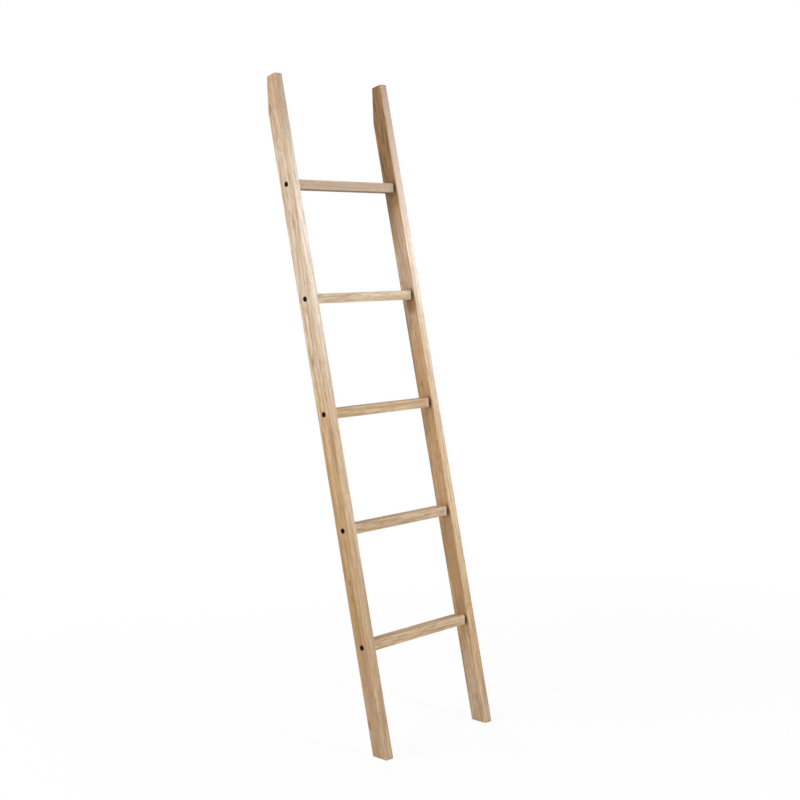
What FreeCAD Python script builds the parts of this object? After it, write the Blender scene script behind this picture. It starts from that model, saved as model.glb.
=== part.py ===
import FreeCAD, Part
import Sketcher
import math
import os

# Blanket ladder, in millimetres and degrees. Two straight rails lean back towards a wall and carry five
# level rungs. Each rung end is held by one bolt, which screws into an insert in the end grain, and by one
# dowel, which stops the rung from turning on that bolt.
#
# Frame: +Z up from the floor, +Y towards the wall, +X to the right of someone who faces the ladder. The
# origin is on the floor, midway between the rails, and midway between the feet and the wall.

SIZES = {
    "lean_angle": 10.4,            # rails from the vertical
    "rail_length": 1962,           # along the front edge, foot to top
    "rail_depth": 56.5,            # front face to wall side
    "rail_thickness": 27,
    "rail_edge_radius": 2.5,
    "top_depth": 37.3,             # what the wall bevel leaves of the rail's depth at the top
    "clear_width": 380,            # between the rails
    "rung_count": 5,
    "rung_margin": 317,            # end of a rail to the nearest bolt, along the rail
    "rung_depth": 37.3,
    "rung_height": 28,
    "rung_edge_radius": 2,
    "rung_back_inset": 2,          # rung's lower back edge to the rail's back face
    "rung_end_chamfer": 0.4,
    "bolt_setback": 12.3,          # rung's front face to the bolt's axis
    "bolt_diameter": 6,
    "bolt_clearance": 0.5,         # round the shank, where it passes through the rail
    "bolt_reach": 11,              # how far the shank goes into the rung
    "bolt_tip_chamfer": 0.8,
    "head_diameter": 15,
    "head_height": 2.8,
    "head_crown_height": 1.6,      # the head's bevelled rim
    "head_crown_width": 2.4,
    "socket_width": 4,             # hexagon socket, across flats
    "socket_depth": 1.8,
    "insert_length": 13,
    "insert_diameter": 10,
    "flange_diameter": 12.5,
    "flange_thickness": 1.2,
    "drive_slot_width": 1.6,
    "drive_slot_depth": 0.8,
    "fit_clearance": 0.05,         # round a dowel, an insert and the thread
    "end_play": 0.5,               # beyond the blind end of a dowel or an insert
    "dowel_diameter": 8,
    "dowel_length": 30,
    "dowel_in_rail": 12,
    "dowel_spacing": 15,           # bolt's axis to the dowel's axis, measured level
    "dowel_chamfer": 1,
}

# Lengths that follow from the sizes. A rail's own frame has Y from its front face to its back, and Z along
# its length.
LEAN = "Sizes.lean_angle"
FOOT_TO_WALL = f"(Sizes.rail_length * sin({LEAN}) + Sizes.top_depth * cos({LEAN}))"
BEVEL_LENGTH = f"((Sizes.rail_depth - Sizes.top_depth) / tan({LEAN}))"
BEHIND_BOLT = "(Sizes.rung_depth - Sizes.bolt_setback)"
BOLT_IN_DEPTH = (f"(Sizes.rail_depth - Sizes.rung_back_inset - {BEHIND_BOLT} * cos({LEAN})"
                 f" - Sizes.rung_height / 2 * sin({LEAN}))")
RUNG_PITCH = "((Sizes.rail_length - 2 * Sizes.rung_margin) / (Sizes.rung_count - 1))"
RUNG_END = "(Sizes.clear_width / 2)"
RAIL_OUTSIDE = "(Sizes.clear_width / 2 + Sizes.rail_thickness)"
DOWEL_IN_RUNG = "(Sizes.dowel_length - Sizes.dowel_in_rail)"
DOWEL_HOLE_RADIUS = "(Sizes.dowel_diameter / 2 + Sizes.fit_clearance)"
BOLT_RADIUS = "(Sizes.bolt_diameter / 2)"
BOLT_LENGTH = "(Sizes.rail_thickness + Sizes.bolt_reach)"
HEAD_RADIUS = "(Sizes.head_diameter / 2)"
BARREL_RADIUS = "(Sizes.insert_diameter / 2)"
FLANGE_RADIUS = "(Sizes.flange_diameter / 2)"

X_AXIS = FreeCAD.Vector(1, 0, 0)
Y_AXIS = FreeCAD.Vector(0, 1, 0)
Z_AXIS = FreeCAD.Vector(0, 0, 1)
LEANING = FreeCAD.Rotation(-X_AXIS, SIZES["lean_angle"])
OUTWARD = {"left": FreeCAD.Rotation(Y_AXIS, -90), "right": FreeCAD.Rotation(Y_AXIS, 90)}
SIGN = {"left": "-", "right": ""}

doc = FreeCAD.newDocument("blanket_ladder")
sheet = doc.addObject("Spreadsheet::Sheet", "Sizes")
for row, (name, number) in enumerate(SIZES.items(), start=1):
    sheet.set(f"A{row}", name)
    sheet.set(f"B{row}", str(number))
    sheet.setAlias(f"B{row}", name)
doc.recompute()


# ---- sketches ----

def origin_plane(body, role):
    return next(item for item in body.Origin.OriginFeatures if item.Role == role)


def sketch_on(body, role, name, lift="0"):
    """A sketch on one of the body's own origin planes, lifted along the plane's normal."""
    sketch = body.newObject("Sketcher::SketchObject", name)
    sketch.AttachmentSupport = [(origin_plane(body, role), "")]
    sketch.MapMode = "FlatFace"
    sketch.setExpression("AttachmentOffset.Base.z", lift)
    return sketch


def hold_point(sketch, geometry, point, place, name):
    """Hold one point of the sketch at place, a pair of expressions measured from the sketch's origin."""
    for direction, expression in zip("XY", place):
        distance = Sketcher.Constraint(f"Distance{direction}", -1, 1, geometry, point, 1.0)
        index = sketch.addConstraint(distance)
        sketch.renameConstraint(index, name + direction)
        sketch.setExpression(f"Constraints.{name}{direction}", expression)


def draw_outline(sketch, corners):
    """A closed outline of straight sides; each corner is a pair of expressions."""
    turn = FreeCAD.Rotation(Z_AXIS, 360 / len(corners))
    start = [X_AXIS]
    for _ in corners[1:]:
        start.append(turn.multVec(start[-1]))
    for index, point in enumerate(start):
        sketch.addGeometry(Part.LineSegment(point, start[(index + 1) % len(start)]))
    for index, corner in enumerate(corners):
        following = (index + 1) % len(corners)
        sketch.addConstraint(Sketcher.Constraint("Coincident", index, 2, following, 1))
        hold_point(sketch, index, 1, corner, f"corner{index}")


def draw_circle(sketch, centre, radius):
    index = sketch.addGeometry(Part.Circle(X_AXIS, Z_AXIS, 1))
    hold_point(sketch, index, 3, centre, f"centre{index}")
    held = sketch.addConstraint(Sketcher.Constraint("Radius", index, 1.0))
    sketch.renameConstraint(held, f"radius{index}")
    sketch.setExpression(f"Constraints.radius{index}", radius)


# ---- features ----

def add(body, kind, name, **settings):
    """Add a feature to the body. A setting that is text and starts with = is an expression."""
    made = body.newObject(f"PartDesign::{kind}", f"{body.Name}_{name}")
    for field, setting in settings.items():
        if isinstance(setting, str) and setting.startswith("="):
            made.setExpression(field, setting[1:])
        else:
            setattr(made, field, setting)
    body.Tip = made
    doc.recompute()
    return made


def round_hole(body, name, sketch, centre, radius, **settings):
    draw_circle(sketch, centre, radius)
    return add(body, "Pocket", name, Profile=sketch, **settings)


def edges_where(made, wanted):
    """The feature with the names of its edges that are wanted, as a fillet or a chamfer takes them."""
    return made, [f"Edge{index}" for index, edge in enumerate(made.Shape.Edges, start=1) if wanted(edge)]


def edges_along(made, direction):
    """Its straight edges that run along direction."""
    def wanted(edge):
        along = edge.tangentAt(edge.FirstParameter)
        return isinstance(edge.Curve, Part.Line) and along.cross(direction).Length < 0.001
    return edges_where(made, wanted)


def edges_sharper_than(made, degrees):
    """Its edges whose two flat faces turn by more than that."""
    def wanted(edge):
        one, other = made.Shape.ancestorsOfType(edge, Part.Face)
        return one.normalAt(0, 0).getAngle(other.normalAt(0, 0)) > math.radians(degrees)
    return edges_where(made, wanted)


def flat_faces_across(made, direction):
    """The feature with the names of its flat faces that lie across direction."""
    names = []
    for index, face in enumerate(made.Shape.Faces, start=1):
        if isinstance(face.Surface, Part.Plane) and face.normalAt(0, 0).cross(direction).Length < 0.001:
            names.append(f"Face{index}")
    return made, names


def place(body, turn, *position):
    """Turn the body and set it at position, three expressions."""
    body.Placement = FreeCAD.Placement(FreeCAD.Vector(), turn)
    for axis, expression in zip("xyz", position):
        body.setExpression(f"Placement.Base.{axis}", expression)


def along_rail(rung):
    """Distance of a rung's bolts from the foot, along the rail; rung 1 is the lowest."""
    return f"(Sizes.rung_margin + {rung - 1} * {RUNG_PITCH})"


def bolt_line(rung):
    """Y and Z of the level line that a rung's bolts lie on."""
    back = f"{along_rail(rung)} * sin({LEAN}) + {BOLT_IN_DEPTH} * cos({LEAN}) - {FOOT_TO_WALL} / 2"
    up = f"{along_rail(rung)} * cos({LEAN}) - {BOLT_IN_DEPTH} * sin({LEAN})"
    return back, up


# ---- the pieces ----

def make_rail(side):
    """An upright in its own leaning frame, with X from the plane of its inner face to the right."""
    body = doc.addObject("PartDesign::Body", f"{side}_rail")
    profile = sketch_on(body, "YZ_Plane", f"{side}_rail_profile")
    draw_outline(profile, [("0", "0"),
                           ("Sizes.rail_depth", f"Sizes.rail_depth * tan({LEAN})"),
                           ("Sizes.rail_depth", f"Sizes.rail_length - {BEVEL_LENGTH}"),
                           ("Sizes.top_depth", "Sizes.rail_length"),
                           ("0", "Sizes.rail_length")])
    bar = add(body, "Pad", "bar", Profile=profile, Length="=Sizes.rail_thickness", Reversed=side == "left")
    add(body, "Fillet", "eased_edges", Base=edges_sharper_than(bar, 45), Radius="=Sizes.rail_edge_radius")

    inside = sketch_on(body, "YZ_Plane", f"{side}_rail_bolt_hole")
    bolt_hole = round_hole(body, "bolt_hole", inside, (BOLT_IN_DEPTH, "Sizes.rung_margin"),
                           f"{BOLT_RADIUS} + Sizes.bolt_clearance", Type="ThroughAll", Midplane=True)
    behind = (f"{BOLT_IN_DEPTH} + Sizes.dowel_spacing * cos({LEAN})",
              f"Sizes.rung_margin + Sizes.dowel_spacing * sin({LEAN})")
    socket = sketch_on(body, "YZ_Plane", f"{side}_rail_dowel_hole")
    dowel_hole = round_hole(body, "dowel_hole", socket, behind, DOWEL_HOLE_RADIUS,
                            Length="=Sizes.dowel_in_rail + Sizes.end_play", Reversed=side == "right")
    add(body, "LinearPattern", "rung_holes", Originals=[bolt_hole, dowel_hole],
        Direction=(inside, ["V_Axis"]), Mode="Spacing", Offset="=" + RUNG_PITCH,
        Occurrences="=Sizes.rung_count")
    place(body, LEANING, SIGN[side] + RUNG_END, f"-{FOOT_TO_WALL} / 2", "0")
    body.setExpression("Placement.Rotation.Angle", LEAN)
    return body


def make_rung(rung):
    """A level tread, with X along its length from the middle, and Y and Z from its bolts' axis."""
    body = doc.addObject("PartDesign::Body", f"rung_{rung}")
    section = sketch_on(body, "YZ_Plane", f"rung_{rung}_section")
    front, half = "-Sizes.bolt_setback", "(Sizes.rung_height / 2)"
    draw_outline(section, [(front, f"-{half}"), (BEHIND_BOLT, f"-{half}"),
                           (BEHIND_BOLT, half), (front, half)])
    bar = add(body, "Pad", "bar", Profile=section, Length="=Sizes.clear_width", Midplane=True)
    eased = add(body, "Fillet", "eased_edges", Base=edges_along(bar, X_AXIS),
                Radius="=Sizes.rung_edge_radius")
    add(body, "Chamfer", "end_arris", Base=flat_faces_across(eased, X_AXIS),
        Size="=Sizes.rung_end_chamfer")

    seat = sketch_on(body, "XY_Plane", f"rung_{rung}_seat_outline")
    flange_inside = f"{RUNG_END} - Sizes.flange_thickness"
    bottom = f"{RUNG_END} - Sizes.insert_length - Sizes.end_play"
    flange_bore = f"{FLANGE_RADIUS} + Sizes.fit_clearance"
    barrel_bore = f"{BARREL_RADIUS} + Sizes.fit_clearance"
    draw_outline(seat, [(RUNG_END, "0"), (RUNG_END, flange_bore), (flange_inside, flange_bore),
                        (flange_inside, barrel_bore), (bottom, barrel_bore), (bottom, "0")])
    insert_seat = add(body, "Groove", "insert_seat", Profile=seat, ReferenceAxis=(seat, ["H_Axis"]),
                      Angle=360.0)
    end = sketch_on(body, "YZ_Plane", f"rung_{rung}_dowel_hole", lift=RUNG_END)
    dowel_hole = round_hole(body, "dowel_hole", end, ("Sizes.dowel_spacing", "0"), DOWEL_HOLE_RADIUS,
                            Length=f"={DOWEL_IN_RUNG} + Sizes.end_play")
    add(body, "Mirrored", "other_end", Originals=[insert_seat, dowel_hole],
        MirrorPlane=(origin_plane(body, "YZ_Plane"), [""]))
    place(body, FreeCAD.Rotation(), "0", *bolt_line(rung))
    return body


def make_bolt(side, rung):
    """A connector bolt, with Z out along its axis from the face that its head bears on."""
    body = doc.addObject("PartDesign::Body", f"{side}_bolt_{rung}")
    profile = sketch_on(body, "XZ_Plane", f"{body.Name}_profile")
    draw_outline(profile, [("0", "Sizes.head_height"),
                           (f"{HEAD_RADIUS} - Sizes.head_crown_width", "Sizes.head_height"),
                           (HEAD_RADIUS, "Sizes.head_height - Sizes.head_crown_height"),
                           (HEAD_RADIUS, "0"),
                           (BOLT_RADIUS, "0"),
                           (BOLT_RADIUS, f"-{BOLT_LENGTH} + Sizes.bolt_tip_chamfer"),
                           (f"{BOLT_RADIUS} - Sizes.bolt_tip_chamfer", f"-{BOLT_LENGTH}"),
                           ("0", f"-{BOLT_LENGTH}")])
    add(body, "Revolution", "turned", Profile=profile, ReferenceAxis=(profile, ["V_Axis"]), Angle=360.0)
    hexagon = sketch_on(body, "XY_Plane", f"{body.Name}_hexagon", lift="Sizes.head_height")
    flat, corner = "(Sizes.socket_width / 2)", "(Sizes.socket_width / 2 / cos(30))"
    side_corner = f"({corner} / 2)"
    draw_outline(hexagon, [(corner, "0"), (side_corner, flat), (f"-{side_corner}", flat),
                           (f"-{corner}", "0"), (f"-{side_corner}", f"-{flat}"), (side_corner, f"-{flat}")])
    add(body, "Pocket", "socket", Profile=hexagon, Length="=Sizes.socket_depth")
    place(body, OUTWARD[side], SIGN[side] + RAIL_OUTSIDE, *bolt_line(rung))
    return body


def make_insert(side, rung):
    """A threaded insert, with Z out along its axis from the rung's end face."""
    body = doc.addObject("PartDesign::Body", f"{side}_insert_{rung}")
    bore = f"{BOLT_RADIUS} + Sizes.fit_clearance"
    profile = sketch_on(body, "XZ_Plane", f"{body.Name}_profile")
    draw_outline(profile, [(bore, "0"), (FLANGE_RADIUS, "0"), (FLANGE_RADIUS, "-Sizes.flange_thickness"),
                           (BARREL_RADIUS, "-Sizes.flange_thickness"),
                           (BARREL_RADIUS, "-Sizes.insert_length"), (bore, "-Sizes.insert_length")])
    add(body, "Revolution", "turned", Profile=profile, ReferenceAxis=(profile, ["V_Axis"]), Angle=360.0)
    across = sketch_on(body, "XY_Plane", f"{body.Name}_slot")
    half = "(Sizes.drive_slot_width / 2)"
    draw_outline(across, [(f"-{FLANGE_RADIUS}", f"-{half}"), (FLANGE_RADIUS, f"-{half}"),
                          (FLANGE_RADIUS, half), (f"-{FLANGE_RADIUS}", half)])
    add(body, "Pocket", "drive_slot", Profile=across, Length="=Sizes.drive_slot_depth")
    place(body, OUTWARD[side], SIGN[side] + RUNG_END, *bolt_line(rung))
    return body


def make_dowel(side, rung):
    """A dowel, with Z out along its axis from the joint between rung and rail."""
    body = doc.addObject("PartDesign::Body", f"{side}_dowel_{rung}")
    section = sketch_on(body, "XY_Plane", f"{body.Name}_section", lift=f"-{DOWEL_IN_RUNG}")
    draw_circle(section, ("0", "0"), "Sizes.dowel_diameter / 2")
    pin = add(body, "Pad", "pin", Profile=section, Length="=Sizes.dowel_length")
    ends = edges_where(pin, lambda edge: isinstance(edge.Curve, Part.Circle))
    add(body, "Chamfer", "ends", Base=ends, Size="=Sizes.dowel_chamfer")
    back, up = bolt_line(rung)
    place(body, OUTWARD[side], SIGN[side] + RUNG_END, f"{back} + Sizes.dowel_spacing", up)
    return body


pieces = [make_rail(side) for side in SIGN]
for number in range(1, SIZES["rung_count"] + 1):
    pieces.append(make_rung(number))
    for side in SIGN:
        pieces += [make_bolt(side, number), make_insert(side, number), make_dowel(side, number)]
doc.recompute()

for item in doc.Objects:
    if "Invalid" in item.State or "Error" in item.State:
        raise RuntimeError(f"{item.Name} did not build: {item.State}")
os.makedirs("parts", exist_ok=True)
for piece in pieces:
    if piece.Shape.isNull() or not piece.Shape.isValid():
        raise RuntimeError(f"{piece.Label} has no valid shape")
    piece.Shape.exportStep(f"parts/{piece.Label}.step")
    print(f"{piece.Label}: {piece.Shape.Volume / 1000:.2f} cm3")
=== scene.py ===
# %% [markdown]
# # A leaning blanket ladder
#
# Two wooden rails lean back towards a wall and carry five level rungs. Black bolts hold the rungs. The
# solids come from the part's own model, so this lesson is about what makes such a plain object look real:
# wood whose figure runs through each piece, black metal, soft light, and a camera that sees what the
# photograph saw.

# %% Load the frame
import math

import bmesh
import bpy
from mathutils import Matrix, Vector


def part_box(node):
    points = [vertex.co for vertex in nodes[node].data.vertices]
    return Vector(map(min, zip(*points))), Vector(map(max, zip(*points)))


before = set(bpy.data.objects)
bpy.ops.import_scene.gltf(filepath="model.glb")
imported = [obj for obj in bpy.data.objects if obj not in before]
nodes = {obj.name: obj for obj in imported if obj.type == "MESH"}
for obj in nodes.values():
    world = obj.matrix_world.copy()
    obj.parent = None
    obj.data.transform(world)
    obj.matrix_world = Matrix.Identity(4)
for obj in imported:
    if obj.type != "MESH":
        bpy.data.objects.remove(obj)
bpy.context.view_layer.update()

print(len(nodes), "solids")

# %% [markdown]
# ## Sizes
#
# All lengths are in metres. They are read from the solids, so a change of size there is followed here. The
# middles of the rungs lie on a line that leans as the rails do, so the lowest and the highest rung give
# both the lean and the spacing. Only the rails' depth is written again, because a box round a leaning board
# hides it.

# %% Lean, spacing and thickness
RUNG_COUNT = 5
RAIL_DEPTH = 0.0565


def middle(name):
    """Centre of a solid's box."""
    low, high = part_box(name)
    return (low + high) / 2


def half_box(name):
    """Half the lengths of a solid's box."""
    low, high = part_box(name)
    return (high - low) / 2


up_ladder = middle(f"rung_{RUNG_COUNT}") - middle("rung_1")
LEAN = math.atan2(up_ladder.y, up_ladder.z)
RUNG_PITCH = up_ladder.length / (RUNG_COUNT - 1)
RAIL_HALF = (half_box("left_rail").x, RAIL_DEPTH / 2)
RUNG_HALF = (half_box("rung_1").z, half_box("rung_1").y)
print(f"lean {math.degrees(LEAN):.3f} degrees, rungs {RUNG_PITCH * 1000:.2f} mm apart")
print(f"rails {RAIL_HALF[0] * 2000:.2f} mm thick, rungs {RUNG_HALF[0] * 2000:.2f} mm thick")

# %% [markdown]
# ## Small helpers for shader nodes
#
# A material is a chain of nodes. In the editor they are wired by hand, which is quick for ten nodes and
# hard to follow for a hundred. Each helper below adds one node and gives back its output instead, so that a
# formula reads like a formula. An input may be a number or another node's output.

# %% One node for a sum or a vector
def feed(tree, socket, source):
    """Link an output to a socket, or write a plain value in it."""
    if isinstance(source, bpy.types.NodeSocket):
        tree.links.new(source, socket)
    else:
        socket.default_value = source


def maths(tree, operation, *sources):
    """One sum, product or comparison of numbers."""
    node = tree.nodes.new("ShaderNodeMath")
    node.operation = operation
    for socket, source in zip(node.inputs, sources):
        feed(tree, socket, source)
    return node.outputs[0]


def vector_maths(tree, operation, *sources):
    """The same for vectors. A length or a dot product comes out as a number."""
    node = tree.nodes.new("ShaderNodeVectorMath")
    node.operation = operation
    for socket, source in zip(node.inputs, sources):
        feed(tree, socket, source)
    return node.outputs["Value" if operation in ("LENGTH", "DOT_PRODUCT") else "Vector"]


def split(tree, vector):
    """The outputs X, Y and Z of a vector."""
    node = tree.nodes.new("ShaderNodeSeparateXYZ")
    tree.links.new(vector, node.inputs[0])
    return node.outputs


# %% Ramps, noise and mixes
MIX_FACTOR, MIX_ONE, MIX_OTHER, MIX_RESULT = 0, 6, 7, 2      # a Mix node's sockets for colours


def ramp(tree, source, low, high, to_low=0.0, to_high=1.0):
    """Smooth step: to_low where source is at or below low, to_high where it is at or above high."""
    node = tree.nodes.new("ShaderNodeMapRange")
    node.interpolation_type = "SMOOTHSTEP"
    for name, part in (("Value", source), ("From Min", low), ("From Max", high),
                       ("To Min", to_low), ("To Max", to_high)):
        feed(tree, node.inputs[name], part)
    return node.outputs["Result"]


def noise(tree, point, across, along, shift=0.0, detail=2.0, roughness=0.5):
    """Noise from 0 to 1. Its features are about 1 / across metres wide and 1 / along metres long in Z."""
    place = (shift, shift * 0.7, shift * 1.3)
    moved = vector_maths(tree, "MULTIPLY_ADD", point, (across, across, along), place)
    node = tree.nodes.new("ShaderNodeTexNoise")
    node.inputs["Scale"].default_value = 1.0
    node.inputs["Detail"].default_value = detail
    node.inputs["Roughness"].default_value = roughness
    tree.links.new(moved, node.inputs["Vector"])
    return node.outputs["Fac"]


def mix(tree, factor, one, other, blend="MIX"):
    """Mix of two colours, each a socket or red, green and blue."""
    node = tree.nodes.new("ShaderNodeMix")
    node.data_type = "RGBA"
    node.blend_type = blend
    feed(tree, node.inputs[MIX_FACTOR], factor)
    for number, source in ((MIX_ONE, one), (MIX_OTHER, other)):
        if not isinstance(source, bpy.types.NodeSocket):
            source = (*source, 1.0)
        feed(tree, node.inputs[number], source)
    return node.outputs[MIX_RESULT]


# %% Colours and materials
def colour(red, green, blue):
    """Linear values of a colour that is written as on a screen, 0 to 255."""
    def linear(value):
        value = value / 255
        return value / 12.92 if value <= 0.04045 else ((value + 0.055) / 1.055) ** 2.4
    return tuple(linear(value) for value in (red, green, blue))


def empty_material(name):
    """A material with only its Principled shader and its output."""
    material = bpy.data.materials.new(name)
    material.use_nodes = True
    return material, material.node_tree, material.node_tree.nodes["Principled BSDF"]


def set_finish(shader, **values):
    """Values that are the same all over, set on the shader's own sockets."""
    for name, value in values.items():
        shader.inputs[name.replace("_", " ")].default_value = value


def dress(name, material):
    """Give a solid its material."""
    slots = nodes[name].data.materials
    slots.clear()
    slots.append(material)


# %% [markdown]
# ## The wood
#
# The real rails and rungs are sawn from pale hardwood. A picture of wood wrapped round a box would give the
# same stripes on every side and none on the ends. Here the tree itself is modelled instead: growth rings
# round a pith line that lies outside the board. The board then cuts through them, so faces show arches or
# straight lines, and ends show curved rings, just as a saw would leave them.
#
# The colours below are those of the wood itself, of its marks and worn edges, and of painted light and shade:
# a pale painted sheen and highlights, and dark painted shadows and shade.

# %% Colours of the wood
PALE = colour(226, 193, 148)
GOLDEN = colour(200, 156, 97)
ROSY = colour(206, 164, 123)
RING = colour(160, 117, 70)
STREAK = colour(150, 107, 63)
PORE = colour(112, 74, 40)
KNOT = colour(126, 84, 44)
END_GRAIN = colour(150, 114, 76)
WORN = colour(226, 198, 162)
# the painted colour of the left rail's rear rim
OLIVE = colour(200, 184, 156)
# a pale colour that paints a sheen and highlights into the wood
PAINTED_SHEEN = colour(233, 214, 191)
ASHY = colour(210, 192, 175)
HONEY = colour(150, 88, 26)
BROWN = colour(116, 81, 48)
# dark brown of the painted shadows in front of the rungs' ends
SHADOW_BROWN = colour(92, 50, 14)
SHADE = colour(56, 34, 17)
print("pale wood, linear:", [round(value, 3) for value in PALE])

# %% [markdown]
# ## Board coordinates
#
# The rails lean and the rungs lie across, but wood is simplest to describe along its own grain. So each
# board has coordinates of its own: Z runs along the grain, and X and Y cross it. A Mapping node of type
# Texture turns Object coordinates into them. An empty object could do the same through its own Object
# coordinates, but then the wood would depend on a helper that an exported model loses.

# %% Board coordinates
def board_coordinates(tree, centre, turn):
    """Where each point is in its board, and which way its surface faces in the frame."""
    place = tree.nodes.new("ShaderNodeTexCoord")
    board = tree.nodes.new("ShaderNodeMapping")
    board.vector_type = "TEXTURE"
    board.inputs["Location"].default_value = centre
    board.inputs["Rotation"].default_value = turn
    tree.links.new(place.outputs["Object"], board.inputs["Vector"])
    return board.outputs["Vector"], place.outputs["Normal"]


# %% [markdown]
# ## Figure
#
# From across the room one sees broad bands and a change of hue, from nearer by streaks, flecks and mottle,
# and close up fibres and open pores. Each of them is one noise that is drawn out along the grain. One noise
# with many octaves would be cheaper, but it couldn't be pale and broad in one place and dark and fine in
# another. Sway, waves and ragged push the growth rings about, and rub says where an edge is worn.

# %% Noises of the figure
FIGURE = {          # features in a metre across and along the grain, own shift, detail, roughness
    "sway": (4.0, 0.9, 0.0, 1.0, 0.5),
    "hue": (17.0, 1.6, 33.0, 1.0, 0.5),
    "waves": (28.0, 3.5, 9.0, 2.0, 0.5),
    "rub": (60.0, 9.0, 13.0, 3.0, 0.5),
    "band": (62.0, 3.6, 21.0, 3.0, 0.6),
    "streak": (90.0, 9.0, 27.0, 2.5, 0.5),
    "mottle": (130.0, 45.0, 17.0, 3.0, 0.6),
    "fleck": (230.0, 24.0, 11.0, 2.0, 0.5),
    "ragged": (320.0, 22.0, 4.0, 1.0, 0.5),
    "fibre": (900.0, 16.0, 2.0, 3.0, 0.65),
    "pore": (2300.0, 95.0, 5.0, 1.0, 0.5),
}


def figure_fields(tree, point, shift):
    """All the noises of one board, by name. The shift picks the board's own place in the log."""
    return {name: noise(tree, point, across, along, shift + own_shift, detail, roughness)
            for name, (across, along, own_shift, detail, roughness) in FIGURE.items()}


print(len(FIGURE), "noises in the figure of a board")

# %% [markdown]
# ## Knots and growth rings
#
# A ring is all the wood that is equally far from the pith, so its number is a distance divided by a ring's
# width. A real trunk isn't a perfect cylinder: it sways, waves and bulges round its knots. Pushing the
# distance about with noise does that, and it needs no drawn curves. Spring wood starts sharply at each
# ring's edge and fades into the denser wood of summer, and most open pores lie in it.

# %% Knots and growth rings
RING_WIDTH = 0.0085
SWAY, WAVES, RAGGED, KNOT_BULGE = 0.085, 0.014, 0.0018, 0.016       # how far each moves the rings
KNOT_SQUEEZE = 0.45                                                 # a knot is drawn out along the grain
SPRING_FULL, SPRING_END = 0.10, 0.62                                # parts of a year's growth


def knot_field(tree, point, knots):
    """Nearness to the knots, 1 at a heart and 0 away from all. A knot is a place and a radius."""
    nearness = 0.0
    for place, radius in knots:
        offset = vector_maths(tree, "SUBTRACT", point, place)
        squeezed = vector_maths(tree, "MULTIPLY", offset, (1.0, 1.0, KNOT_SQUEEZE))
        distance = vector_maths(tree, "LENGTH", squeezed)
        nearness = maths(tree, "MAXIMUM", nearness, ramp(tree, distance, 0.0, radius * 3, 1.0, 0.0))
    return nearness


def ring_field(tree, point, pith, field, nearness):
    """How far through its year's growth each point is, from 0 to 1."""
    across = vector_maths(tree, "MULTIPLY", vector_maths(tree, "SUBTRACT", point, pith), (1.0, 1.0, 0.0))
    radius = vector_maths(tree, "LENGTH", across)
    for push, reach in ((field["sway"], SWAY), (field["waves"], WAVES),
                        (field["ragged"], RAGGED), (nearness, KNOT_BULGE)):
        radius = maths(tree, "MULTIPLY_ADD", push, reach, radius)
    return maths(tree, "FRACT", maths(tree, "DIVIDE", radius, RING_WIDTH))


def spring_wood(tree, growth):
    """How much of each point is the porous wood of spring, from 0 to 1."""
    start = ramp(tree, growth, 0.0, SPRING_FULL)
    return maths(tree, "MULTIPLY", start, ramp(tree, growth, SPRING_FULL, SPRING_END, 1.0, 0.0))


def pore_field(tree, field, spring):
    """Where a pore is open. Summer wood keeps a quarter of them."""
    porous = maths(tree, "MULTIPLY_ADD", spring, 0.75, 0.25)
    return maths(tree, "MULTIPLY", ramp(tree, field["pore"], 0.60, 0.68), porous)


# %% [markdown]
# ## Zones
#
# Zones paint a pale sheen on the upper part of the rails and shadows and shade beside and under the rungs,
# and they make stretches of the wood itself darker or paler. A painted mask would need an unwrapped surface.
# A zone needs only a place in the board, its half lengths and a soft edge, and it goes through the wood as a
# stain does.

# %% Zones of paler or darker wood, and of painted light and shade
ZONE_CORE = 0.35                            # share of a zone's reach in which it is at its full strength


def add_zones(tree, point, wood, zones):
    """Mix zones into the wood. Each has a place, half lengths, a colour and its greatest share."""
    for place, reach, shade, share in zones:
        offset = vector_maths(tree, "SUBTRACT", point, place)
        distance = vector_maths(tree, "LENGTH", vector_maths(tree, "DIVIDE", offset, reach))
        wood = mix(tree, ramp(tree, distance, ZONE_CORE, 1.0, share, 0.0), wood, shade)
    return wood


# %% [markdown]
# ## Colour, from the broad to the fine
#
# Paint goes on a model in the same order as here: the broad tints first, the zones over them, and then the
# fine figure, so that a stain doesn't hide the grain. Each layer is a share and a colour. A ramp says between
# which values of a noise the layer comes up, and how far. The end grain is darker, because it drinks more
# oil, and the long edges are rubbed; along the rear edge the rub carries a painted rim colour. Only the few
# marks that do hide the grain come at the very end: painted shadows in front of the rungs' ends, painted
# shade under a rung and painted highlights on the rungs' right ends.

# %% Layers of colour
def grain_colour(tree, point, field, spring, pores, nearness, zones, bold):
    """Colour of the sawn wood. A bold board has stronger rings, flecks and streaks."""
    wood = mix(tree, ramp(tree, field["hue"], 0.30, 0.70), GOLDEN, ROSY)
    wood = mix(tree, ramp(tree, field["band"], 0.34, 0.66, 0.85, 0.0), wood, PALE)
    wood = add_zones(tree, point, wood, zones)
    layers = (
        (maths(tree, "MULTIPLY", spring, 0.36 * bold), RING),
        (ramp(tree, field["fleck"], 0.40, 0.70, 0.0, 0.42 * bold), RING),
        (ramp(tree, field["mottle"], 0.50, 0.72, 0.0, 0.40 * bold), STREAK),
        (ramp(tree, field["streak"], 0.52, 0.70, 0.0, 0.42 * bold), STREAK),
        (ramp(tree, field["fibre"], 0.30, 0.72, 0.34, 0.0), RING),
        (maths(tree, "MULTIPLY", pores, 0.60), PORE),
        (ramp(tree, nearness, 0.25, 0.95, 0.0, 0.50), KNOT),
    )
    for share, shade in layers:
        wood = mix(tree, share, wood, shade)
    return wood


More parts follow.
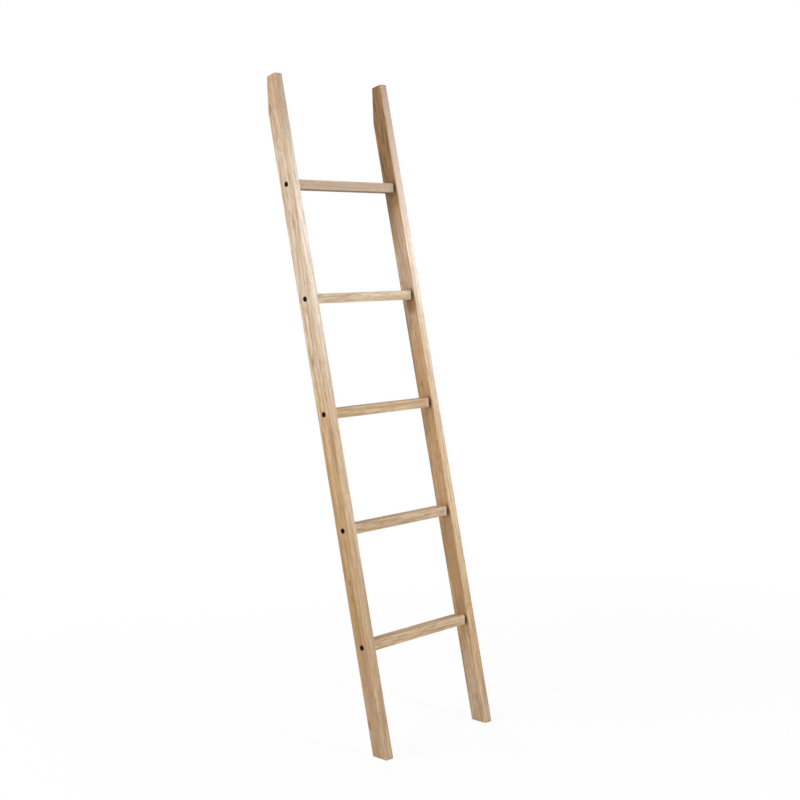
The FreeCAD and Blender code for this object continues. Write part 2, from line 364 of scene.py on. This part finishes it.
def darken_ends(tree, wood, normal, grain):
    """Mix in the colour of end grain where the surface faces along the grain."""
    along = maths(tree, "ABSOLUTE", vector_maths(tree, "DOT_PRODUCT", normal, grain))
    return mix(tree, ramp(tree, along, 0.45, 0.9, 0.0, 0.6), wood, END_GRAIN)


# %% Worn edges
EDGE_DEPTH = 0.0035                         # how far from a face its edges are worn
SKIN = 0.0003                               # within this depth of a face, wear and dullness are full
SEAM = 0.002                                # half the width over which the front's wear turns into the rear's


def wear_edges(tree, point, field, half_size, wood, painted_rear_rim):
    """Rub the long edges pale in front. Behind, the same rub paints the rear rim in the colour given, a
    painted shade where that colour is dark.
    """
    sizes = split(tree, vector_maths(tree, "ABSOLUTE", point))
    near_x = ramp(tree, sizes["X"], half_size[0] - EDGE_DEPTH, half_size[0] - SKIN)
    near_y = ramp(tree, sizes["Y"], half_size[1] - EDGE_DEPTH, half_size[1] - SKIN)
    corner = maths(tree, "MULTIPLY", near_x, near_y)
    worn = maths(tree, "MULTIPLY", corner, ramp(tree, field["rub"], 0.35, 0.65, 0.15, 0.55))
    behind = ramp(tree, split(tree, point)["Y"], -SEAM, SEAM)
    return mix(tree, worn, wood, mix(tree, behind, WORN, painted_rear_rim))


# %% [markdown]
# ## Relief and gloss
#
# The real boards are oiled, not varnished, so the wood can be felt. Fibres stand a little proud, and pores
# and spring wood lie lower. That is a third of a millimetre at most, so a Bump node is enough and no mesh
# has to be divided. Oil leaves a soft gloss, which the shader's coat gives. The two wide faces of a board
# are duller than the narrow ones, so there the coat and the specular level come down.

# %% Relief and gloss
RELIEF = 0.0003
MATT_DEPTH = 0.0012                         # the duller finish of a wide face starts this deep in the edge
SPECULAR = 0.4
COAT_ROUGHNESS = 0.34


def add_relief(tree, shader, field, spring, pores):
    """Roughness and bump. Pores are rougher and lie lowest."""
    rough = maths(tree, "MULTIPLY_ADD", field["fibre"], 0.16, 0.42)
    tree.links.new(maths(tree, "MULTIPLY_ADD", pores, 0.2, rough), shader.inputs["Roughness"])
    height = maths(tree, "MULTIPLY_ADD", spring, -0.25, field["fibre"])
    height = maths(tree, "MULTIPLY_ADD", pores, -0.7, height)
    bump = tree.nodes.new("ShaderNodeBump")
    bump.inputs["Strength"].default_value = 0.55
    bump.inputs["Distance"].default_value = RELIEF
    tree.links.new(height, bump.inputs["Height"])
    tree.links.new(bump.outputs["Normal"], shader.inputs["Normal"])


def add_gloss(tree, shader, point, half_size, coat, dullness):
    """Coat and specular level. The wide faces lose this share of the coat, and half of it of the specular."""
    set_finish(shader, Coat_Roughness=COAT_ROUGHNESS)
    if not dullness:
        set_finish(shader, Coat_Weight=coat, Specular_IOR_Level=SPECULAR)
        return
    depth = split(tree, vector_maths(tree, "ABSOLUTE", point))["X"]
    wide = ramp(tree, depth, half_size[0] - MATT_DEPTH, half_size[0] - SKIN)
    weight = maths(tree, "MULTIPLY_ADD", wide, -dullness * coat, coat)
    specular = maths(tree, "MULTIPLY_ADD", wide, -dullness * SPECULAR / 2, SPECULAR)
    tree.links.new(weight, shader.inputs["Coat Weight"])
    tree.links.new(specular, shader.inputs["Specular IOR Level"])


# %% [markdown]
# ## One material for each board
#
# One wood for the whole ladder would show the same knot and the same arch on every piece. So the steps
# above are put together in one function, and each board calls it with its own place in the log.

# %% The wood itself
def make_wood(name, centre, turn, grain, half_size, pith, shift, tint, knots=(), zones=(), painted_marks=(),
              bold=1.0, coat=0.5, dullness=0.45, painted_rear_rim=OLIVE):
    """Wood of one board. Zones, some of which paint sheen and shade, lie under the grain, and the painted
    marks of shadow, shade and highlight lie over it.
    """
    material, tree, shader = empty_material(name)
    point, normal = board_coordinates(tree, centre, turn)
    field = figure_fields(tree, point, shift)
    nearness = knot_field(tree, point, knots)
    spring = spring_wood(tree, ring_field(tree, point, pith, field, nearness))
    pores = pore_field(tree, field, spring)

    wood = grain_colour(tree, point, field, spring, pores, nearness, zones, bold)
    wood = mix(tree, 1.0, wood, tint, "MULTIPLY")
    wood = darken_ends(tree, wood, normal, grain)
    wood = wear_edges(tree, point, field, half_size, wood, painted_rear_rim)
    # painted shadows, shade and highlights, over the grain
    wood = add_zones(tree, point, wood, painted_marks)
    tree.links.new(wood, shader.inputs["Base Color"])

    add_relief(tree, shader, field, spring, pores)
    add_gloss(tree, shader, point, half_size, coat, dullness)
    return material


# %% [markdown]
# ## Rails
#
# Each rail is its own board, so it gets its own pith, its own shift of the noise and a slightly different
# tint. In a rail's coordinates X crosses it from left to right, Y goes from front to back, and Z goes up
# along it from its middle, so a knot or a zone can be set where the photograph shows it. The left rail
# shows its left face, which is the outer one, and the right rail its left face too, which is the inner one.
# A zone that is centred a little beside the face fades before it comes out on the other side.

# %% Where a rail's wood lies
RAIL_TURN = (-LEAN, 0.0, 0.0)
RAIL_GRAIN = (0.0, math.sin(LEAN), math.cos(LEAN))
LEFT_FACE = -RAIL_HALF[0]
RIGHT_FACE = RAIL_HALF[0]
BESIDE_LEFT = LEFT_FACE - 0.0085
# Size and place of the painted shadows in front of the rungs' ends
JOINT_SHADOW_REACH = (0.012, 0.0125, 0.026)
JOINT_SHADOW_FORWARD = 0.016                        # in front of the rail's axis
JOINT_SHADOW_DROP = 0.004                           # below the height of the rung's middle


def rail_centre(name):
    """Point on the rail's axis, half way up. The cut ends pull the middle of its box off the axis."""
    low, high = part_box(name)
    across = Vector((0.0, math.cos(LEAN), -math.sin(LEAN)))
    foot_corner = Vector(((low.x + high.x) / 2, low.y, low.z))
    up_rail = (middle(name) - foot_corner).dot(Vector(RAIL_GRAIN))
    return foot_corner + RAIL_HALF[1] * across + up_rail * Vector(RAIL_GRAIN)


def painted_joint_shadows(inner_face):
    """A painted shadow on the rail's inner face, in the corner in front of each rung's end."""
    heights = ((number - (RUNG_COUNT - 1) / 2) * RUNG_PITCH - JOINT_SHADOW_DROP for number in range(RUNG_COUNT))
    return tuple(((inner_face, -JOINT_SHADOW_FORWARD, height), JOINT_SHADOW_REACH, SHADOW_BROWN, 0.92) for height in heights)


print("left rail's axis passes through", [round(part, 4) for part in rail_centre("left_rail")])

# %% Left rail, seen from outside
LEFT_KNOTS = (
    ((LEFT_FACE, 0.017, 0.885), 0.0050),
    ((LEFT_FACE, 0.009, 0.150), 0.0045),
    ((LEFT_FACE, 0.006, -0.482), 0.0036),
    ((LEFT_FACE, 0.006, -0.528), 0.0038),
    ((LEFT_FACE, 0.020, -0.886), 0.0045),
)
LEFT_ZONES = (
    ((0.0, 0.0, 0.50), (0.06, 0.06, 0.70), PAINTED_SHEEN, 0.88),                  # painted sheen on the upper part
    ((0.0, 0.0, -0.95), (0.06, 0.06, 0.85), STREAK, 0.28),                   # painted shade that darkens the lower part
    ((0.0, 0.0, -0.98), (0.06, 0.06, 0.34), ASHY, 0.30),                     # the foot,
    ((0.0, -0.030, -0.95), (0.03, 0.012, 0.34), PALE, 0.45),                 # its front
    ((LEFT_FACE, 0.004, -0.95), (0.02, 0.04, 0.34), BROWN, 0.12),            # and its side
    ((0.0, -0.028, 0.98), (0.04, 0.03, 0.32), BROWN, 0.40),                  # front of the top
    ((LEFT_FACE, 0.020, 1.00), (0.02, 0.04, 0.24), BROWN, 0.30),             # side of the top
    ((LEFT_FACE, 0.0, 0.76), (0.02, 0.05, 0.34), ROSY, 0.12),                # side below the top
    ((LEFT_FACE, -0.017, -0.10), (0.012, 0.012, 0.11), BROWN, 0.50),         # a stain at the front edge
    ((LEFT_FACE, 0.0, -0.28), (0.02, 0.04, 0.18), BROWN, 0.12),              # side below the middle
    ((LEFT_FACE, -0.001, -0.58), (0.02, 0.005, 0.40), BROWN, 0.40),          # a long thin streak
)
left_board = dict(pith=(0.070, 0.060, 0.0), shift=3.1, tint=(0.91, 0.96, 1.01), bold=1.1,
                  knots=LEFT_KNOTS, zones=LEFT_ZONES, painted_marks=painted_joint_shadows(RIGHT_FACE))
print("left rail:", len(LEFT_KNOTS), "knots and", len(LEFT_ZONES), "zones")

# %% Right rail, seen from inside
RIGHT_KNOTS = (
    ((LEFT_FACE, 0.004, 0.054), 0.0028),
    ((RIGHT_FACE, -0.006, -0.42), 0.0025),
)
RIGHT_ZONES = (
    ((0.02, -0.02, 0.38), (0.03, 0.06, 0.60), PAINTED_SHEEN, 0.90),               # painted sheen on the front of the upper part
    ((0.0, -0.028, 0.96), (0.04, 0.03, 0.56), BROWN, 0.90),                  # front of the top
    ((0.0, -0.030, 0.80), (0.04, 0.02, 0.40), HONEY, 0.40),                  # front below the top
    ((0.0, 0.0, -0.98), (0.06, 0.06, 0.34), ASHY, 0.60),                     # the foot
    ((BESIDE_LEFT, 0.002, 0.42), (0.022, 0.09, 0.34), ASHY, 0.80),           # side above rung 4
    ((BESIDE_LEFT, 0.002, -0.05), (0.022, 0.09, 0.75), BROWN, 0.22),         # side about rung 3
    ((BESIDE_LEFT, -0.008, -0.50), (0.022, 0.045, 0.24), BROWN, 0.50),       # side between rungs 1 and 2
    ((BESIDE_LEFT, 0.012, 0.94), (0.028, 0.08, 0.64), BROWN, 1.0),           # side of the top, darker wood and painted shade,
    ((BESIDE_LEFT, 0.0, 0.84), (0.022, 0.09, 0.28), SHADE, 0.60),            # painted shade, darkest above rung 5
    ((LEFT_FACE, 0.024, 0.86), (0.03, 0.050, 0.40), SHADE, 0.95),            # painted shadow on the rear edge near the top
    ((LEFT_FACE, 0.030, 0.17), (0.02, 0.020, 0.20), SHADE, 0.45),            # painted shadow on the rear edge above the middle
    ((LEFT_FACE, -0.008, 0.628), (0.012, 0.030, 0.042), BROWN, 0.90),        # painted shadow under rung 5
    ((LEFT_FACE, -0.006, 0.300), (0.012, 0.032, 0.042), BROWN, 0.95),        # painted shadow under rung 4
    ((LEFT_FACE, 0.000, -0.628), (0.012, 0.032, 0.034), SHADE, 0.35),        # painted shade over rung 1
)
# The right rail's rear rim is painted brown, as shade along its rear edge.
right_board = dict(pith=(-0.095, 0.055, 0.0), shift=17.7, tint=(0.98, 1.02, 1.05), bold=1.3, painted_rear_rim=BROWN,
                   knots=RIGHT_KNOTS, zones=RIGHT_ZONES, painted_marks=painted_joint_shadows(LEFT_FACE))
print("right rail:", len(RIGHT_KNOTS), "knots and", len(RIGHT_ZONES), "zones")

# %% Dress the rails
for name, board in (("left_rail", left_board), ("right_rail", right_board)):
    wood = make_wood(f"{name}_wood", rail_centre(name), RAIL_TURN, RAIL_GRAIN, RAIL_HALF, **board)
    dress(name, wood)
    print(name, "dressed with", len(wood.node_tree.nodes), "shader nodes")

# %% [markdown]
# ## Rungs
#
# The five rungs come from five boards, so each has its own pith, and a tint that brings its front to the
# colour it has in the photograph. So the tint is partly painted light: a rung whose front gets less light and
# sheen is made paler and bluer. Their grain is bolder than the rails', and they are much duller. Each right
# end carries a painted highlight, the top of rung 1 a painted shade, and the front and underside of rung 5 a
# painted shade. In a rung's coordinates X goes down, Y goes from front to back, and Z goes along it to the
# right.

# %% Five boards
RUNG_TURN = (0.0, math.pi / 2, 0.0)
RUNG_GRAIN = (1.0, 0.0, 0.0)
# a painted highlight on the front of each rung's right end
PAINTED_END_HIGHLIGHT = ((0.0, -0.0187, 0.192), (0.03, 0.010, 0.020), PAINTED_SHEEN, 0.55)
STAINED_TOP = ((-0.014, 0.004, 0.14), (0.008, 0.016, 0.07), BROWN, 0.85)
# painted shade: the top of rung 1 darker than its front
PAINTED_SHADE_TOP = ((-0.020, 0.0, 0.0), (0.012, 0.04, 0.4), STREAK, 0.60)
# painted shade on the front of rung 5
PAINTED_SHADE_FRONT = ((0.0, -0.024, 0.0), (0.06, 0.012, 2.0), SHADE, 0.46)
# painted shade on the underside of rung 5
PAINTED_SHADE_UNDERSIDE = ((0.0165, 0.0, 0.0), (0.0060, 0.06, 2.0), SHADE, 0.80)
RUNG_FINISH = dict(painted_marks=(PAINTED_END_HIGHLIGHT,), bold=1.4, coat=0.25, dullness=0.95)
FIRST_SHIFT, NEXT_SHIFT = 47.3, 7.3         # the first rung's place in the log, and from one to the next

# Each tint is partly painted light: it makes a rung paler and bluer where its front gets less light and
# sheen.
rung_boards = {
    "rung_1": dict(pith=(0.10, -0.02, 0.0), tint=(1.15, 1.37, 1.72), zones=(STAINED_TOP, PAINTED_SHADE_TOP)),
    "rung_2": dict(pith=(-0.03, -0.09, 0.0), tint=(0.99, 1.13, 1.35)),
    "rung_3": dict(pith=(0.05, 0.08, 0.0), tint=(0.95, 1.03, 1.06)),
    "rung_4": dict(pith=(0.02, -0.12, 0.0), tint=(1.05, 1.24, 1.53)),
    "rung_5": dict(pith=(-0.08, 0.04, 0.0), tint=(0.98, 1.02, 1.06), zones=(PAINTED_SHADE_FRONT,),
                   painted_marks=(PAINTED_END_HIGHLIGHT, PAINTED_SHADE_UNDERSIDE)),
}
for number, (name, board) in enumerate(rung_boards.items()):
    shift = FIRST_SHIFT + NEXT_SHIFT * number
    wood = make_wood(f"{name}_wood", middle(name), RUNG_TURN, RUNG_GRAIN, RUNG_HALF,
                     shift=shift, **(RUNG_FINISH | board))
    dress(name, wood)
    print(name, "dressed with", len(wood.node_tree.nodes), "shader nodes")

# %% [markdown]
# ## Bolts, inserts and dowels
#
# The bolts are black steel with a faint sheen. A flat black would look like a hole, so a cloud in the
# colour and a fine speck in the roughness keep it a surface. The inserts are cast zinc and the dowels
# beech. Both are hidden inside the joints, but they are real pieces, so they are finished too.

# %% Black steel and zinc
def metal_noise(tree, fineness, detail):
    """Noise that is the same in all directions."""
    place = tree.nodes.new("ShaderNodeTexCoord")
    return noise(tree, place.outputs["Object"], fineness, fineness, detail=detail)


def make_black_steel():
    material, tree, shader = empty_material("black_steel")
    speck = metal_noise(tree, 1800.0, 3.0)
    cloud = metal_noise(tree, 160.0, 2.0)
    black = mix(tree, cloud, colour(5, 4, 4), colour(11, 10, 9))
    tree.links.new(black, shader.inputs["Base Color"])
    tree.links.new(ramp(tree, speck, 0.3, 0.7, 0.26, 0.38), shader.inputs["Roughness"])
    set_finish(shader, Specular_IOR_Level=0.08)
    return material


def make_zinc():
    material, tree, shader = empty_material("zinc_alloy")
    speck = metal_noise(tree, 1500.0, 3.0)
    grey = mix(tree, speck, colour(168, 170, 172), colour(196, 198, 199))
    tree.links.new(grey, shader.inputs["Base Color"])
    tree.links.new(ramp(tree, speck, 0.3, 0.7, 0.32, 0.5), shader.inputs["Roughness"])
    set_finish(shader, Metallic=1.0)
    return material


# %% Dress the small pieces
NO_EDGES = (0.1, 0.1)                       # half sizes far outside a dowel, so that it has no worn edges
BEECH = dict(half_size=NO_EDGES, pith=(0.03, 0.02, 0.0), tint=(0.97, 0.93, 0.86), dullness=0.0)
DOWEL_SHIFT = 3.0

black_steel = make_black_steel()
zinc = make_zinc()
for side in ("left", "right"):
    for number in range(1, RUNG_COUNT + 1):
        dress(f"{side}_bolt_{number}", black_steel)
        dress(f"{side}_insert_{number}", zinc)
        name = f"{side}_dowel_{number}"
        beech = make_wood(f"{name}_wood", middle(name), RUNG_TURN, RUNG_GRAIN,
                          shift=DOWEL_SHIFT * number, **BEECH)
        dress(name, beech)
print("dressed", 2 * RUNG_COUNT, "bolts and as many inserts and dowels")

# %% [markdown]
# ## Floor
#
# The ladder stands on plain white. A white floor that is lit would turn grey or need so much light that the
# wood bleaches. So the camera sees a mix: mostly plain white, which a Light Path node shows it, and a
# little of the floor's own lit surface, which keeps a faint shadow. Far away it is all white and meets the
# white world. Glossy and transmission rays see the same white, so that metal mirrors what the camera sees.

# %% Floor
FLOOR_SIZE = 60.0
FLOOR_GREY = 0.85
WHITE_NEAR, WHITE_FAR = 0.93, 1.0           # share of plain white under the ladder and far from it
SHADOW_START, SHADOW_END = 0.8, 2.6         # distances from the middle between which the share grows


def make_floor():
    """One large flat sheet."""
    mesh = bpy.data.meshes.new("floor")
    bm = bmesh.new()
    bmesh.ops.create_grid(bm, x_segments=2, y_segments=2, size=FLOOR_SIZE / 2)
    bm.to_mesh(mesh)
    bm.free()
    floor = bpy.data.objects.new("floor", mesh)
    bpy.context.scene.collection.objects.link(floor)
    return floor


def see_white(tree, surface, share, kind):
    """Camera, glossy and transmission rays see this share of a white node of this kind instead of surface."""
    path = tree.nodes.new("ShaderNodeLightPath")
    seen = maths(tree, "MAXIMUM", path.outputs["Is Camera Ray"], path.outputs["Is Glossy Ray"])
    seen = maths(tree, "MAXIMUM", seen, path.outputs["Is Transmission Ray"])
    white = tree.nodes.new(kind)
    white.inputs["Color"].default_value = (1.0, 1.0, 1.0, 1.0)
    blend = tree.nodes.new("ShaderNodeMixShader")
    tree.links.new(maths(tree, "MULTIPLY", seen, share), blend.inputs[0])
    tree.links.new(surface, blend.inputs[1])
    tree.links.new(white.outputs[0], blend.inputs[2])
    return blend.outputs[0]


def make_floor_material():
    material, tree, shader = empty_material("pale_floor")
    set_finish(shader, Base_Color=(FLOOR_GREY, FLOOR_GREY, FLOOR_GREY, 1.0), Roughness=0.8)
    place = tree.nodes.new("ShaderNodeTexCoord")
    away = vector_maths(tree, "LENGTH", place.outputs["Object"])
    share = ramp(tree, away, SHADOW_START, SHADOW_END, WHITE_NEAR, WHITE_FAR)
    surface = see_white(tree, shader.outputs[0], share, "ShaderNodeEmission")
    tree.links.new(surface, tree.nodes["Material Output"].inputs["Surface"])
    return material


floor = make_floor()
floor.data.materials.append(make_floor_material())
print(f"floor {FLOOR_SIZE:.0f} m wide")

# %% [markdown]
# ## World
#
# The world could light everything from all sides, but then the ladder would lose its lit and its shaded
# faces. So it is almost dark for the wood, and plain white for the camera, as the floor is.

# %% World
WORLD_STRENGTH = 0.02

world = bpy.data.worlds.new("studio")
bpy.context.scene.world = world
world.use_nodes = True
ambient = world.node_tree.nodes["Background"]
set_finish(ambient, Color=(1.0, 1.0, 1.0, 1.0), Strength=WORLD_STRENGTH)
sky = see_white(world.node_tree, ambient.outputs[0], 1.0, "ShaderNodeBackground")
world.node_tree.links.new(sky, world.node_tree.nodes["World Output"].inputs["Surface"])
print("world strength", WORLD_STRENGTH)

# %% [markdown]
# ## Lamps
#
# In the photograph the rails' fronts are the brightest, their left sides are a little darker, and the
# rungs' tops and the right rail's inner face are darker still. One lamp in front lights the fronts. Four
# soft ones from the left, from behind and from overhead bring up the other sides. They are hidden from
# glossy rays, so they add no gloss of their own. Two sheen lamps do the opposite: they give only gloss and
# add nothing to the plain colour. A picture of a studio wrapped round the world would be quicker, but its
# lamps can't be moved or switched off one by one.

# %% Lamps
def softbox(name, place, target, width, height, watts):
    """A rectangular lamp that faces its target."""
    lamp = bpy.data.lights.new(name, "AREA")
    lamp.shape = "RECTANGLE"
    lamp.size = width
    lamp.size_y = height
    lamp.energy = watts
    holder = bpy.data.objects.new(name, lamp)
    holder.location = place
    holder.rotation_euler = (Vector(target) - Vector(place)).to_track_quat("-Z", "Y").to_euler()
    bpy.context.scene.collection.objects.link(holder)
    print(f"{name}: {watts:.0f} W")
    return holder


# Name, place, target, width, height and watts
softbox("front", (0.3, -3.0, 1.5), (0.0, 0.0, 1.1), 0.5, 1.4, 56.0)
soft_lamps = (
    softbox("left_high", (-4.0, -0.1, 4.2), (0.0, 0.0, 1.1), 1.4, 1.4, 120.0),
    softbox("left_rear", (-2.6, 1.5, 1.5), (0.0, 0.0, 1.0), 2.0, 2.2, 50.0),
    softbox("right_rear", (1.7, 2.7, 1.6), (0.0, 0.0, 1.0), 1.2, 1.2, 45.0),
    softbox("overhead", (0.0, 0.7, 5.0), (0.0, 0.0, 1.0), 1.6, 1.0, 45.0),
)
sheen_lamps = (
    softbox("sheen_high", (1.95, -1.95, 2.5), (0.0, 0.0, 1.4), 1.0, 0.8, 66.0),
    softbox("sheen_low", (2.07, -2.0, 1.3), (0.0, 0.0, 1.3), 1.0, 1.2, 26.0),
)
for lamp in soft_lamps:
    lamp.visible_glossy = False
for lamp in sheen_lamps:
    lamp.visible_diffuse = False

# %% [markdown]
# ## Camera
#
# The camera stands where the photograph was taken from. Its place, turn and focal length were found from
# the outlines of the rails and rungs in the photograph. Three directions, ahead, right and above, give its
# turn more plainly than three Euler angles would. Blender's camera looks along its own -Z.

# %% Camera
IMAGE_WIDTH = 800
FOCAL = 1276.7                              # in pixels of the image
SENSOR_WIDTH = 36.0
CAMERA_PLACE = (-2.5291, -2.7444, 1.2869)
HEADING = math.radians(43.442)              # from +Y towards +X
DIP = math.radians(5.576)                   # below level
ROLL = math.radians(-2.234)
LOWERED = 20.0                              # pixels from the image's middle down to the axis of the lens


def camera_turn():
    """The camera's own axes as the columns of a matrix."""
    ahead = Vector((math.sin(HEADING) * math.cos(DIP), math.cos(HEADING) * math.cos(DIP), -math.sin(DIP)))
    right = Vector((math.cos(HEADING), -math.sin(HEADING), 0.0))
    above = right.cross(ahead)
    rolled_right = math.cos(ROLL) * right + math.sin(ROLL) * above
    rolled_above = -math.sin(ROLL) * right + math.cos(ROLL) * above
    return Matrix((rolled_right, rolled_above, -ahead)).transposed()


camera = bpy.data.cameras.new("camera")
camera.sensor_width = SENSOR_WIDTH
camera.lens = FOCAL / IMAGE_WIDTH * SENSOR_WIDTH
camera.shift_y = LOWERED / IMAGE_WIDTH
eye = bpy.data.objects.new("camera", camera)
eye.matrix_world = Matrix.LocRotScale(Vector(CAMERA_PLACE), camera_turn(), None)
bpy.context.scene.collection.objects.link(eye)
bpy.context.scene.camera = eye
print(f"lens {camera.lens:.2f} mm")

# %% [markdown]
# ## Finish
#
# Standard view keeps each colour as it is written.

# %% Finish
bpy.context.scene.view_settings.view_transform = "Standard"
